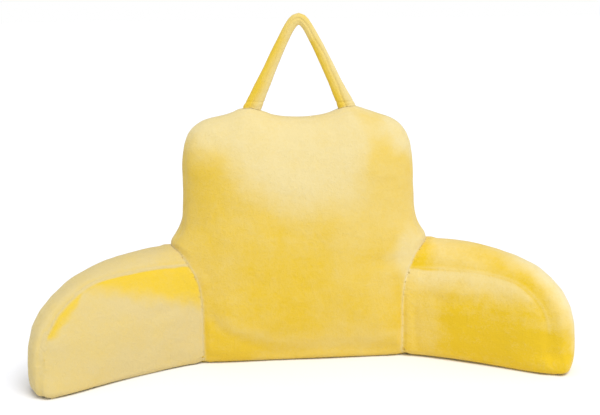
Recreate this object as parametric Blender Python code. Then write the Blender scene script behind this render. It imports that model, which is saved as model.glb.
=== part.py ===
"""Reading pillow: a filled backrest cushion, two splayed D-shaped arms and a carrying handle.

Metres, +Z up. The sitter's side faces -Y, and the pillow stands on z = 0 with its footprint centred on the origin.
"""

import math
from collections import namedtuple

import bmesh
import bpy
from mathutils import Vector

# Gap left between pieces that are sewn together
GAP = 0.0003

# Backrest: heights are above the base, front and back are measured from the front of the base
BACKREST_HEIGHT = 0.454
BACKREST_BASE_CUT = 0.012
BACKREST_CUTS = (19, 7, 19)
BACKREST_SEAM_PLACE = 0.45
BACKREST_CORNER_POWER = 7.0
BACKREST_BASE_POWER = 16.0
BACKREST_CROWN_POWER = 3.4
BACKREST_BASE_CROWN_POWER = 7.0
TOP_DIP = 0.004
TOP_DIP_REACH = 0.060
PULL_HEIGHT = 0.014
PULL_REACH = 0.036

Level = namedtuple("Level", "height half_width front back")
BACKREST_LEVELS = (
    Level(0.000, 0.221, 0.000, 0.165),
    Level(0.030, 0.211, -0.002, 0.167),
    Level(0.060, 0.208, -0.003, 0.168),
    Level(0.110, 0.213, -0.003, 0.170),
    Level(0.155, 0.230, -0.001, 0.171),
    Level(0.195, 0.245, 0.001, 0.171),
    Level(0.214, 0.246, 0.003, 0.170),
    Level(0.232, 0.234, 0.005, 0.169),
    Level(0.258, 0.223, 0.008, 0.168),
    Level(0.330, 0.219, 0.014, 0.166),
    Level(0.400, 0.219, 0.022, 0.163),
    Level(0.470, 0.219, 0.032, 0.160),
)

# Seams draw the filled forms in by this share of their size
SEAM_PINCH = 0.020

# Arms: places are along the arm's middle line, from the side of the backrest to the nose
Arm = namedtuple("Arm", "name side length outline_power")
ARMS = (
    Arm("arm_left", -1.0, 0.350, 2.45),
    Arm("arm_right", 1.0, 0.340, 2.70),
)
ARM_ROOT = (0.205, 0.080)
ARM_ROOT_OVERLAP = 0.050
ARM_TOP = 0.216
ARM_WIDEST_HEIGHT = 0.055
ARM_BASE_CUT = 0.010
ARM_CUTS = (15, 6, 9)
ARM_BASE_POWER = 7.0
ARM_CROWN_POWER = 3.0
ARM_BASE_CROWN_POWER = 4.5
ARM_NOSE_SKEW = 0.030
ARM_SEGMENTS = 24

# How far towards the D panels the seams lie, by the share of the arm's length
SeamPlace = namedtuple("SeamPlace", "share arm_left arm_right")
ARM_SEAM_PLACES = (
    SeamPlace(0.00, 0.95, 1.20),
    SeamPlace(0.45, 0.72, 1.06),
    SeamPlace(0.80, 0.55, 0.90),
    SeamPlace(1.00, 0.56, 0.84),
)

Station = namedtuple("Station", "place heading_deg half_thickness")
ARM_STATIONS = (
    Station(-0.050, 14.0, 0.074),
    Station(0.000, 19.0, 0.076),
    Station(0.100, 30.0, 0.077),
    Station(0.200, 39.0, 0.073),
    Station(0.300, 47.0, 0.066),
    Station(0.348, 49.0, 0.062),
)

# Handle: a folded cloth tube, from its root in the top of the backrest to its apex
HANDLE_SPAN = 0.196
HANDLE_SHIFT = 0.005
HANDLE_DEPTH_PLACE = 0.094
HANDLE_ROOT_HEIGHT = 0.445
HANDLE_APEX_HEIGHT = 0.630
HANDLE_APEX_ROUND = 0.16
HANDLE_LEG_STEPS = 18
HANDLE_SIDES = 12
HANDLE_FOLD_DEPTH = 0.10

Cut = namedtuple("Cut", "place half_width half_depth")
HANDLE_CUTS = (
    Cut(0.00, 0.0195, 0.0085),
    Cut(0.12, 0.0165, 0.0085),
    Cut(0.35, 0.0130, 0.0088),
    Cut(0.70, 0.0108, 0.0090),
    Cut(1.00, 0.0105, 0.0092),
)

PLUSH_COLOUR = (0.90, 0.66, 0.16, 1.0)
HANDLE_COLOUR = (0.88, 0.60, 0.12, 1.0)


def clear_scene():
    for old in list(bpy.data.objects):
        bpy.data.objects.remove(old, do_unlink=True)


def eased(t):
    """0 below 0 and 1 above 1, with a smooth climb between."""
    t = min(max(t, 0.0), 1.0)
    return t * t * (3.0 - 2.0 * t)


def column(table, key, value, at):
    """The value column of a table at a key, on a smooth curve through its rows."""
    keys = [getattr(row, key) for row in table]
    values = [getattr(row, value) for row in table]
    at = min(max(at, keys[0]), keys[-1])
    i = max(j for j in range(len(keys) - 1) if keys[j] <= at)
    span = keys[i + 1] - keys[i]
    t = (at - keys[i]) / span

    def slope(j):
        low, high = max(j - 1, 0), min(j + 1, len(keys) - 1)
        return (values[high] - values[low]) / (keys[high] - keys[low]) * span

    start, end = slope(i), slope(i + 1)
    rise = values[i + 1] - values[i]
    bend = t * (1.0 - t) * ((1.0 - t) * (start - rise) - t * (end - rise))
    return values[i] + t * rise + bend


def plush(name, colour):
    """A soft, dull cloth."""
    material = bpy.data.materials.new(name)
    material.use_nodes = True
    shader = material.node_tree.nodes["Principled BSDF"]
    shader.inputs["Base Color"].default_value = colour
    shader.inputs["Roughness"].default_value = 0.85
    shader.inputs["Metallic"].default_value = 0.0
    return material


def add_object(name, bm, parent, material):
    """A smooth shaded object under the parent, made from a bmesh that is then freed."""
    bmesh.ops.recalc_face_normals(bm, faces=bm.faces)
    mesh = bpy.data.meshes.new(name)
    bm.to_mesh(mesh)
    bm.free()
    mesh.shade_smooth()
    if material:
        mesh.materials.append(material)
    piece = bpy.data.objects.new(name, mesh)
    bpy.context.scene.collection.objects.link(piece)
    piece.parent = parent
    return piece


def divided_box(cuts):
    """A closed box from -1 to 1 each way, with its faces cut into a grid."""
    bm = bmesh.new()
    bmesh.ops.create_cube(bm, size=2.0)
    for axis in range(3):
        along = []
        for edge in bm.edges:
            way = edge.verts[1].co - edge.verts[0].co
            if abs(way[axis]) > 0.5 * way.length:
                along.append(edge)
        bmesh.ops.subdivide_edges(bm, edges=along, cuts=cuts[axis], use_grid_fill=True)
    return bm


def on_seam(co):
    """Whether a point of the divided box lies on an edge between a panel and the strip round the form."""
    return abs(co.y) > 0.999 and max(abs(co.x), abs(co.z)) > 0.999


def power_at(across, high, powers):
    """The power between the upper one and the one at the base, for a point of a box's face."""
    widest = max(abs(across), abs(high))
    low = max(0.0, -high / widest) if widest > 0.0 else 0.0
    return powers[0] + (powers[1] - powers[0]) * eased(low)


def outline_rim(across, high, powers):
    """How far out a point of a box's face lies, which is 1 on the rounded outline."""
    power = power_at(across, high, powers)
    return (abs(across) ** power + abs(high) ** power) ** (1.0 / power)


def puffed(across, deep, high, outline_powers, crown_powers):
    """The factor that brings a point of a box onto a filled form.

    The outline is seen along the depth, and the crown is the bulge in the depth. Each pair of powers holds the
    upper one and the one at the base, and a larger power is squarer.
    """
    rim = outline_rim(across, high, outline_powers)
    crown = power_at(across, high, crown_powers)
    return (rim**crown + abs(deep) ** crown) ** (-1.0 / crown)


def backrest_point(co):
    """A point of the divided box, brought onto the backrest."""
    deep = co.y * BACKREST_SEAM_PLACE
    outline_powers = (BACKREST_CORNER_POWER, BACKREST_BASE_POWER)
    crown_powers = (BACKREST_CROWN_POWER, BACKREST_BASE_CROWN_POWER)
    scale = puffed(co.x, deep, co.z, outline_powers, crown_powers)
    scale *= 1.0 - SEAM_PINCH * on_seam(co)
    across, deep, high = co.x * scale, deep * scale, co.z * scale
    middle = (BACKREST_HEIGHT - BACKREST_BASE_CUT) / 2.0
    z = middle + high * (BACKREST_HEIGHT + BACKREST_BASE_CUT) / 2.0
    level = max(z, 0.0)
    x = across * column(BACKREST_LEVELS, "height", "half_width", level)
    front = column(BACKREST_LEVELS, "height", "front", level)
    back = column(BACKREST_LEVELS, "height", "back", level)
    y = (front + back) / 2.0 + deep * (back - front) / 2.0
    upper = eased((high - 0.55) / 0.45)
    pull = (abs(x - HANDLE_SHIFT) - HANDLE_SPAN / 2.0) / PULL_REACH
    z += upper * PULL_HEIGHT * math.exp(-pull * pull)
    z -= upper * TOP_DIP * math.exp(-((x / TOP_DIP_REACH) ** 2))
    return Vector((x, y, max(z, 0.0)))


def backrest_form(grow):
    """The backrest's closed form, with its surface moved out by grow."""
    bm = divided_box(BACKREST_CUTS)
    for vert in bm.verts:
        vert.co = backrest_point(vert.co)
    bmesh.ops.triangulate(bm, faces=bm.faces, quad_method="SHORT_EDGE")
    bmesh.ops.recalc_face_normals(bm, faces=bm.faces)
    if grow:
        bm.normal_update()
        moves = [(vert, vert.normal * grow) for vert in bm.verts]
        for vert, move in moves:
            vert.co += move
    return bm


def arm_middle_line(length):
    """Places and points along the arm's middle line, found by walking its headings both ways."""
    walk = []
    for direction, reach in ((-1.0, ARM_ROOT_OVERLAP), (1.0, length)):
        step = reach / ARM_SEGMENTS
        x, y = ARM_ROOT
        for i in range(ARM_SEGMENTS + 1):
            place = direction * i * step
            walk.append((place, x, y))
            half_way = place + direction * step / 2.0
            heading = math.radians(column(ARM_STATIONS, "place", "heading_deg", half_way))
            x += direction * step * math.cos(heading)
            y -= direction * step * math.sin(heading)
    return sorted(walk)


def on_line(line, place):
    """The x and y of a place on the middle line."""
    place = min(max(place, line[0][0]), line[-1][0])
    i = max(j for j in range(len(line) - 1) if line[j][0] <= place)
    near, far = line[i], line[i + 1]
    t = (place - near[0]) / max(far[0] - near[0], 1e-9)
    return near[1] + t * (far[1] - near[1]), near[2] + t * (far[2] - near[2])


def beside_outline(along, high, powers):
    """How much further towards a panel its rim lies where the outline is round, so that the seam runs beside it."""
    widest = max(along, abs(high))
    if widest == 0.0:
        return 1.0
    return 1.0 + (outline_rim(along, high, powers) / widest - 1.0) * widest**2


def arm_point(co, line, arm):
    """A point of the divided box, brought onto an arm: the box's X runs from the root to the nose."""
    root_share = ARM_ROOT_OVERLAP / arm.length
    along = (co.x + 1.0) / 2.0 * (1.0 + root_share) - root_share
    high = co.z
    outline_powers = (arm.outline_power, ARM_BASE_POWER)
    seam_place = column(ARM_SEAM_PLACES, "share", arm.name, along)
    deep = co.y * seam_place * beside_outline(max(along, 0.0), high, outline_powers)
    crown_powers = (ARM_CROWN_POWER, ARM_BASE_CROWN_POWER)
    if along > 0.0:
        scale = puffed(along, deep, high, outline_powers, crown_powers)
        scale *= 1.0 - SEAM_PINCH * on_seam(co)
        along *= scale
    else:
        section = max(abs(co.y), abs(co.z))
        scale = section * puffed(0.0, deep, high, outline_powers, crown_powers) if section > 0.0 else 1.0
        scale *= 1.0 - SEAM_PINCH * on_seam(co)
    deep, high = deep * scale, high * scale
    place = along * arm.length
    x, y = on_line(line, place)
    heading = math.radians(column(ARM_STATIONS, "place", "heading_deg", place))
    thick = deep * column(ARM_STATIONS, "place", "half_thickness", place)
    skew = ARM_NOSE_SKEW * deep * eased(along)
    x -= skew * math.cos(heading)
    y += skew * math.sin(heading)
    x += thick * math.sin(heading)
    y += thick * math.cos(heading)
    rise = ARM_TOP - ARM_WIDEST_HEIGHT if high > 0.0 else ARM_WIDEST_HEIGHT + ARM_BASE_CUT
    return Vector((arm.side * x, y, max(ARM_WIDEST_HEIGHT + high * rise, 0.0)))


def arm_form(arm):
    """An arm that reaches into the backrest, on the +X side for 1 and on the -X side for -1."""
    bm = divided_box(ARM_CUTS)
    line = arm_middle_line(arm.length)
    for vert in bm.verts:
        vert.co = arm_point(vert.co, line, arm)
    bmesh.ops.triangulate(bm, faces=bm.faces, quad_method="SHORT_EDGE")
    return bm


def handle_middle(t):
    """A point of the handle's middle line: t is 0 at one root, 1 at the apex and 2 at the other root."""
    from_apex = t - 1.0
    rounded = math.sqrt(from_apex * from_apex + HANDLE_APEX_ROUND**2) - HANDLE_APEX_ROUND
    reach = math.sqrt(1.0 + HANDLE_APEX_ROUND**2) - HANDLE_APEX_ROUND
    x = HANDLE_SHIFT + from_apex * HANDLE_SPAN / 2.0
    z = HANDLE_APEX_HEIGHT - (HANDLE_APEX_HEIGHT - HANDLE_ROOT_HEIGHT) * rounded / reach
    return Vector((x, HANDLE_DEPTH_PLACE, z))


def handle_form():
    """The folded tube, with a lengthwise fold along its front and back."""
    bm = bmesh.new()
    rings = []
    steps = 2 * HANDLE_LEG_STEPS
    nudge = 0.5 / steps
    for i in range(steps + 1):
        t = 2.0 * i / steps
        middle = handle_middle(t)
        way = (handle_middle(t + nudge) - handle_middle(t - nudge)).normalized()
        outward = Vector((way.z, 0.0, -way.x))
        leg = 1.0 - abs(t - 1.0)
        half_width = column(HANDLE_CUTS, "place", "half_width", leg)
        half_depth = column(HANDLE_CUTS, "place", "half_depth", leg)
        ring = []
        for k in range(HANDLE_SIDES):
            turn = 2.0 * math.pi * k / HANDLE_SIDES
            fold = 1.0 - HANDLE_FOLD_DEPTH * (0.5 - 0.5 * math.cos(2.0 * turn)) ** 3
            sideways = outward * half_width * math.cos(turn)
            forward = Vector((0.0, half_depth * math.sin(turn) * fold, 0.0))
            ring.append(bm.verts.new(middle + sideways + forward))
        rings.append(ring)
    for near, far in zip(rings, rings[1:]):
        for k in range(HANDLE_SIDES):
            n = (k + 1) % HANDLE_SIDES
            bm.faces.new((near[k], near[n], far[n], far[k]))
    bm.faces.new(rings[0])
    bm.faces.new(reversed(rings[-1]))
    return bm


def cut_by(piece, cutter):
    cut = piece.modifiers.new("sewn against the backrest", "BOOLEAN")
    cut.operation = "DIFFERENCE"
    cut.solver = "EXACT"
    cut.object = cutter


def centre_footprint(parent):
    """Moves the parent so that the middle of the whole object's box stands over the origin."""
    bpy.context.view_layer.update()
    shown = bpy.context.evaluated_depsgraph_get()
    corners = []
    for piece in bpy.data.objects:
        if piece.type == "MESH" and not piece.hide_render:
            seen = piece.evaluated_get(shown)
            corners += [seen.matrix_world @ Vector(corner) for corner in seen.bound_box]
    for axis in range(2):
        low = min(corner[axis] for corner in corners)
        high = max(corner[axis] for corner in corners)
        parent.location[axis] -= (low + high) / 2.0


def main():
    clear_scene()
    pillow = bpy.data.objects.new("reading_pillow", None)
    bpy.context.scene.collection.objects.link(pillow)
    add_object("backrest", backrest_form(0.0), pillow, plush("backrest plush", PLUSH_COLOUR))
    cutter = add_object("backrest_cutter", backrest_form(GAP), pillow, None)
    cutter.hide_render = True
    cutter.display_type = "WIRE"
    for arm in ARMS:
        piece = add_object(arm.name, arm_form(arm), pillow, plush(arm.name + " plush", PLUSH_COLOUR))
        cut_by(piece, cutter)
    handle = add_object("handle", handle_form(), pillow, plush("handle plush", HANDLE_COLOUR))
    cut_by(handle, cutter)
    centre_footprint(pillow)


main()
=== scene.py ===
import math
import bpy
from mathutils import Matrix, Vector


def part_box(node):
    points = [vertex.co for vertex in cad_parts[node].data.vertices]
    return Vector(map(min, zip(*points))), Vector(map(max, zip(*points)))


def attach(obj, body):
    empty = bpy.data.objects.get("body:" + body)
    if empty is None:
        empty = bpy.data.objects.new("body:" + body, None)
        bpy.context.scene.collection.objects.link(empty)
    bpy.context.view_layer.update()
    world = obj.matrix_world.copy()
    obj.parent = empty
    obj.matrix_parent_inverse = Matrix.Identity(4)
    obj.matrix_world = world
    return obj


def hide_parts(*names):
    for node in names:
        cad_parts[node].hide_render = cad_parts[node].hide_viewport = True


bl_info = {
    "name": "Reading Pillow",
    "version": (1, 0, 0),
    "blender": (4, 5, 0),
    "location": "View3D > Sidebar > Pillow",
    "description": "Dresses a reading pillow in brushed plush, with its seams, folds and carrying handle",
    "category": "Object",
}

from collections import namedtuple

import bmesh
import bpy
import numpy as np
from mathutils import Matrix, Vector, noise
from mathutils.bvhtree import BVHTree
from mathutils.kdtree import KDTree

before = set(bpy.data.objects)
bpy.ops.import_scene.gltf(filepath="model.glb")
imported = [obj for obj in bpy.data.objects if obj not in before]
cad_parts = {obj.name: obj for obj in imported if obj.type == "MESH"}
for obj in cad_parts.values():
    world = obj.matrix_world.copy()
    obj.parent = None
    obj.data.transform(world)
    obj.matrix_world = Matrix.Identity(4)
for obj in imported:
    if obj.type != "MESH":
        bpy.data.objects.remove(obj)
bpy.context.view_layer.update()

# Pattern of the backrest: heights are above the base, front and back are measured from the front of the base
BACKREST_HEIGHT = 0.454
BACKREST_BASE_CUT = 0.012
BACKREST_SEAM_PLACE = 0.45
BACKREST_POWERS = (7.0, 16.0, 3.4, 7.0)
Level = namedtuple("Level", "height half_width front back")
BACKREST_LEVELS = (
    Level(0.000, 0.221, 0.000, 0.165),
    Level(0.030, 0.211, -0.002, 0.167),
    Level(0.060, 0.208, -0.003, 0.168),
    Level(0.110, 0.213, -0.003, 0.170),
    Level(0.155, 0.230, -0.001, 0.171),
    Level(0.195, 0.245, 0.001, 0.171),
    Level(0.214, 0.246, 0.003, 0.170),
    Level(0.232, 0.234, 0.005, 0.169),
    Level(0.258, 0.223, 0.008, 0.168),
    Level(0.330, 0.219, 0.014, 0.166),
    Level(0.400, 0.219, 0.022, 0.163),
    Level(0.470, 0.219, 0.032, 0.160),
)

# Pattern of the arms: places run along the middle line, from the side of the backrest to the nose
Arm = namedtuple("Arm", "name side length outline_power")
ARMS = (
    Arm("arm_left", -1.0, 0.350, 2.45),
    Arm("arm_right", 1.0, 0.340, 2.70),
)
ARM_ROOT = (0.205, 0.080)
ARM_ROOT_OVERLAP = 0.050
ARM_TOP = 0.216
ARM_WIDEST_HEIGHT = 0.055
ARM_BASE_CUT = 0.010
ARM_BASE_POWER = 7.0
ARM_CROWN_POWERS = (3.0, 4.5)
ARM_NOSE_SKEW = 0.030
ARM_LINE_STEPS = 96
SeamPlace = namedtuple("SeamPlace", "share arm_left arm_right")
ARM_SEAM_PLACES = (
    SeamPlace(0.00, 0.95, 1.20),
    SeamPlace(0.45, 0.72, 1.06),
    SeamPlace(0.80, 0.55, 0.90),
    SeamPlace(1.00, 0.56, 0.84),
)
Station = namedtuple("Station", "place heading_deg half_thickness")
ARM_STATIONS = (
    Station(-0.050, 14.0, 0.074),
    Station(0.000, 19.0, 0.076),
    Station(0.100, 30.0, 0.077),
    Station(0.200, 39.0, 0.073),
    Station(0.300, 47.0, 0.066),
    Station(0.348, 49.0, 0.062),
)

# Pattern of the handle: its middle line is an upside-down V with a round apex
HANDLE_SPAN = 0.196
HANDLE_SHIFT = 0.005
HANDLE_DEPTH_PLACE = 0.094
HANDLE_ROOT_HEIGHT = 0.445
HANDLE_APEX_HEIGHT = 0.630
HANDLE_APEX_ROUND = 0.16
HANDLE_STITCH_HEIGHT = 0.476

# The handle's middle and the backrest's tie the pattern to the frame
HANDLE_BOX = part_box("handle")
BACKREST_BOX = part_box("backrest")
ORIGIN_X = (BACKREST_BOX[0].x + BACKREST_BOX[1].x) / 2.0
ORIGIN_Y = (HANDLE_BOX[0].y + HANDLE_BOX[1].y) / 2.0 - HANDLE_DEPTH_PLACE

# Camera, fitted to the photograph's outline: aim is from the pattern's origin, the focal length is in its pixels
PHOTO_WIDTH = 600
CAMERA_FOCAL_PX = 1048.3
CAMERA_DISTANCE = 1.9
CAMERA_ELEVATION = 10.59
CAMERA_AZIMUTH = -4.97
CAMERA_ROLL = 0.72
CAMERA_AIM = (-0.0048, 0.0, 0.2928)
SENSOR_WIDTH = 36.0

# Seams: how high each stands, how far the cloth beside it is drawn in, and how strong the painted highlight along
# its ridge and the painted shade beside it are
Seam = namedtuple("Seam", "ridge trough pale")
SEAMS = {
    "backrest": Seam(0.0004, 0.0006, 0.06),
    "arm_left": Seam(0.0018, 0.0013, 0.45),
    "arm_right": Seam(0.0004, 0.0003, 0.15),
}

# Folds pressed into the cloth, seen from the front: their lines are x, z pairs from the pattern's origin
Fold = namedtuple("Fold", "piece width depth points")
FOLDS = (
    Fold("backrest", 0.0130, 0.0022, (
        (-0.200, 0.128), (-0.172, 0.084), (-0.140, 0.054), (-0.095, 0.036), (-0.050, 0.028))),
    Fold("backrest", 0.0090, 0.0012, ((-0.196, 0.088), (-0.180, 0.056), (-0.150, 0.034), (-0.112, 0.022))),
    Fold("backrest", 0.0120, 0.0020, (
        (-0.080, 0.020), (-0.020, 0.023), (0.050, 0.024), (0.120, 0.023), (0.190, 0.020))),
    Fold("backrest", 0.0080, 0.0012, ((0.135, 0.328), (0.160, 0.331), (0.186, 0.329))),
    Fold("backrest", 0.0080, 0.0010, ((0.145, 0.314), (0.168, 0.316), (0.192, 0.314))),
    Fold("backrest", 0.0120, 0.0016, ((0.222, 0.196), (0.192, 0.184), (0.152, 0.180), (0.108, 0.186))),
    Fold("backrest", 0.0110, 0.0012, ((-0.222, 0.190), (-0.194, 0.176), (-0.160, 0.166))),
    Fold("backrest", 0.0040, 0.0010, ((0.198, 0.132), (0.195, 0.090), (0.197, 0.045))),
    Fold("arm_left", 0.0090, 0.0018, ((-0.410, 0.140), (-0.432, 0.118), (-0.450, 0.092), (-0.456, 0.062))),
    Fold("arm_left", 0.0100, 0.0012, ((-0.225, 0.120), (-0.250, 0.112), (-0.285, 0.110))),
    Fold("arm_right", 0.0100, 0.0012, ((0.225, 0.118), (0.260, 0.112), (0.310, 0.116))),
    Fold("arm_right", 0.0090, 0.0014, ((0.380, 0.030), (0.415, 0.036), (0.450, 0.034))),
)

# How the nap lies, seen from the front: 0 is deep and 1 is pale, soft is the width of a patch's edge, part is any,
# panel or strip, and the outlines are x, z pairs from the pattern's origin. The lie of the pile is the cloth's own;
# its pale look is painted sheen, light reflected off the pile where it leans away.
Patch = namedtuple("Patch", "piece part nap weight soft outline")
PATCHES = (
    Patch("backrest", "any", 0.95, 1.0, 0.044, (
        (-0.26, 0.405), (-0.15, 0.380), (-0.08, 0.330), (-0.03, 0.290), (0.03, 0.285), (0.11, 0.300),
        (0.12, 0.36), (0.13, 0.41), (0.26, 0.41), (0.26, 0.50), (-0.26, 0.50))),
    Patch("backrest", "any", 0.14, 0.9, 0.036, (
        (-0.28, 0.400), (-0.175, 0.385), (-0.13, 0.34), (-0.14, 0.28), (-0.28, 0.26))),
    Patch("backrest", "any", 0.50, 0.7, 0.046, ((0.10, 0.33), (0.27, 0.34), (0.27, 0.22), (0.06, 0.22))),
    Patch("backrest", "any", 0.26, 0.8, 0.014, ((0.135, 0.400), (0.180, 0.402), (0.175, 0.384), (0.14, 0.38))),
    Patch("backrest", "any", 0.42, 0.8, 0.022, ((0.14, 0.368), (0.20, 0.372), (0.20, 0.330), (0.145, 0.338))),
    Patch("backrest", "any", 0.40, 0.7, 0.012, ((0.10, 0.462), (0.16, 0.446), (0.155, 0.434), (0.11, 0.44))),
    Patch("backrest", "any", 1.25, 1.0, 0.024, ((0.15, 0.47), (0.26, 0.45), (0.27, 0.36), (0.190, 0.39))),
    Patch("backrest", "any", 0.92, 0.9, 0.024, (
        (0.165, 0.19), (0.205, 0.245), (0.27, 0.24), (0.245, 0.15), (0.220, 0.11), (0.19, 0.14))),
    Patch("backrest", "any", 0.36, 0.7, 0.026, ((-0.27, 0.24), (-0.205, 0.235), (-0.185, 0.17), (-0.25, 0.13))),
    Patch("backrest", "any", 0.00, 0.6, 0.050, ((-0.10, 0.21), (0.03, 0.20), (0.03, 0.08), (-0.10, 0.07))),
    # Pale band: along the diagonal fold at the left it is a painted highlight on the fold's edge; to the right it is
    # the pale strip of nap above the bottom band
    Patch("backrest", "any", 0.48, 0.6, 0.016, (
        (-0.16, 0.094), (-0.10, 0.066), (-0.05, 0.054), (0.06, 0.054), (0.19, 0.052),
        (0.19, 0.034), (-0.05, 0.034), (-0.10, 0.048), (-0.16, 0.074))),
    Patch("backrest", "any", 0.00, 0.9, 0.014, (
        (-0.24, 0.140), (-0.180, 0.088), (-0.13, 0.052), (-0.08, 0.034), (-0.08, -0.02), (-0.24, -0.02))),
    Patch("backrest", "any", 0.22, 0.9, 0.009, ((-0.10, 0.022), (0.24, 0.028), (0.24, -0.02), (-0.10, -0.02))),
    Patch("arm_left", "strip", 0.62, 0.7, 0.030, ((-0.26, 0.25), (-0.20, 0.25), (-0.20, 0.15), (-0.25, 0.17))),
    Patch("arm_left", "panel", 0.02, 1.0, 0.021, (
        (-0.12, 0.25), (-0.33, 0.25), (-0.388, 0.182), (-0.350, 0.166), (-0.315, 0.152), (-0.280, 0.143),
        (-0.240, 0.132), (-0.215, 0.124), (-0.195, 0.116), (-0.12, 0.110))),
    # Deep stroke under the seam towards the nose, beside the fold there: painted shadow of the fold
    Patch("arm_left", "panel", 0.16, 0.9, 0.005, (
        (-0.367, 0.190), (-0.394, 0.160), (-0.415, 0.137), (-0.442, 0.108), (-0.470, 0.110), (-0.405, 0.215))),
    Patch("arm_left", "panel", 0.80, 0.6, 0.030, ((-0.40, 0.11), (-0.30, 0.11), (-0.30, 0.05), (-0.40, 0.05))),
    Patch("arm_right", "any", 1.05, 1.0, 0.028, (
        (0.330, 0.26), (0.392, 0.190), (0.430, 0.148), (0.460, 0.100), (0.474, 0.055), (0.53, 0.045), (0.53, 0.26))),
    Patch("arm_right", "strip", 0.50, 0.8, 0.036, ((0.16, 0.26), (0.35, 0.26), (0.33, 0.175), (0.16, 0.16))),
    Patch("arm_right", "strip", 0.00, 0.9, 0.020, ((0.15, 0.28), (0.256, 0.28), (0.240, 0.145), (0.15, 0.14))),
    Patch("arm_right", "panel", 0.66, 0.9, 0.026, (
        (0.13, 0.24), (0.30, 0.24), (0.38, 0.24), (0.46, 0.17), (0.42, 0.132), (0.36, 0.128),
        (0.30, 0.134), (0.25, 0.134), (0.21, 0.136), (0.13, 0.14))),
    Patch("arm_right", "panel", 0.30, 0.7, 0.020, ((0.18, 0.130), (0.25, 0.120), (0.235, 0.03), (0.18, 0.02))),
    Patch("arm_right", "any", -0.15, 0.8, 0.030, (
        (0.27, 0.080), (0.43, 0.070), (0.50, 0.030), (0.50, -0.02), (0.30, -0.02))),
    Patch("handle", "any", 0.75, 0.7, 0.012, ((-0.03, 0.60), (0.01, 0.64), (0.04, 0.60), (0.00, 0.58))),
)
BASE_NAP = {"backrest": 0.20, "arm_left": 0.92, "arm_right": 0.16, "handle": 0.42}


# Light: the window's way is from the pillow to the light
WORLD_STRENGTH = 0.62
WINDOW_STRENGTH = 2.0
WINDOW_WAY = (0.5, -1.0, 1.66)

# Making of the cloth
CLOTH_QUALITY = 5
CLOTH_FRAMES = 20
EVEN_TURNS = 12
SEAM_REACH = 0.03
JOINT_STEP = 0.001
JOINT_SMOOTHING = {"arm_left": 0.018, "arm_right": 0.018, "handle": 0.003}
RELAX_TURNS = 10
RELAX_WIDTH = {"backrest": 0.0050, "arm_left": 0.0050, "arm_right": 0.0050, "handle": 0.0024}
HEM_REACH = 0.008
HEM_TURNS = 8

# Where a piece is sewn on: the gap to the cloth below, and the heights over which it is drawn down to it
SEWN_GAP = 0.0003
SEWN_LOW = 0.0015
SEWN_HIGH = 0.0060
SEWN_REACH = 0.0120


def eased(t):
    """0 below 0 and 1 above 1, with a smooth climb between."""
    t = np.clip(t, 0.0, 1.0)
    return t * t * (3.0 - 2.0 * t)


def column(table, key, value, at):
    """The value column of a table at one key or many, on a smooth curve through its rows."""
    keys = np.array([getattr(row, key) for row in table])
    values = np.array([getattr(row, value) for row in table])
    slopes = np.gradient(values, keys)
    at = np.clip(np.asarray(at, float), keys[0], keys[-1])
    i = np.clip(np.searchsorted(keys, at, side="right") - 1, 0, len(keys) - 2)
    span = keys[i + 1] - keys[i]
    t = (at - keys[i]) / span
    rise = values[i + 1] - values[i]
    start, end = slopes[i] * span, slopes[i + 1] * span
    return values[i] + t * rise + t * (1.0 - t) * ((1.0 - t) * (start - rise) - t * (end - rise))


def power_at(across, high, upper, base):
    """The power between the upper one and the one at the base, for a point of a box's face."""
    widest = max(abs(across), abs(high), 1e-9)
    return upper + (base - upper) * float(eased(max(0.0, -high / widest)))


def outline_rim(across, high, powers):
    """How far out a point of a box's face lies, which is 1 on the rounded outline."""
    power = power_at(across, high, powers[0], powers[1])
    return (abs(across) ** power + abs(high) ** power) ** (1.0 / power)


def puffed(across, deep, high, powers):
    """The factor that brings a point of a box onto a filled form: the powers are outline, base outline, crown,
    base crown."""
    crown = power_at(across, high, powers[2], powers[3])
    return (outline_rim(across, high, powers) ** crown + abs(deep) ** crown) ** (-1.0 / crown)


def backrest_point(across, side, high):
    """A point on a boxing seam of the backrest: side is -1 for the front seam and 1 for the back one."""
    deep = side * BACKREST_SEAM_PLACE
    scale = puffed(across, deep, high, BACKREST_POWERS)
    z = (BACKREST_HEIGHT - BACKREST_BASE_CUT) / 2.0
    z += high * scale * (BACKREST_HEIGHT + BACKREST_BASE_CUT) / 2.0
    level = max(z, 0.0)
    front = float(column(BACKREST_LEVELS, "height", "front", level))
    back = float(column(BACKREST_LEVELS, "height", "back", level))
    x = across * scale * float(column(BACKREST_LEVELS, "height", "half_width", level))
    y = (front + back) / 2.0 + deep * scale * (back - front) / 2.0
    return Vector((ORIGIN_X + x, ORIGIN_Y + y, level))


def backrest_seams():
    """The front and back boxing seams, up one side, over the top and down the other."""
    up = np.linspace(-0.98, 1.0, 60)
    over = np.linspace(-1.0, 1.0, 60)
    seams = []
    for side in (-1.0, 1.0):
        line = [backrest_point(-1.0, side, high) for high in up]
        line += [backrest_point(across, side, 1.0) for across in over]
        line += [backrest_point(1.0, side, high) for high in up[::-1]]
        seams.append(line)
    return seams


def arm_middle_line(arm):
    """Rows of place, x, y and heading along an arm's middle line, before it is mirrored to its side."""
    rows = []
    for direction, reach in ((-1.0, ARM_ROOT_OVERLAP), (1.0, arm.length)):
        step = reach / ARM_LINE_STEPS
        x, y = ARM_ROOT
        for i in range(ARM_LINE_STEPS + 1):
            place = direction * i * step
            heading = math.radians(float(column(ARM_STATIONS, "place", "heading_deg", place)))
            rows.append((place, x, y, heading))
            x += direction * step * math.cos(heading)
            y -= direction * step * math.sin(heading)
    return np.array(sorted(rows))


def arm_seam_place(arm, share):
    """How far towards the panels the seams lie, from the root, 0, to the nose, 1."""
    return column(ARM_SEAM_PLACES, "share", arm.name, share)


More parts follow.
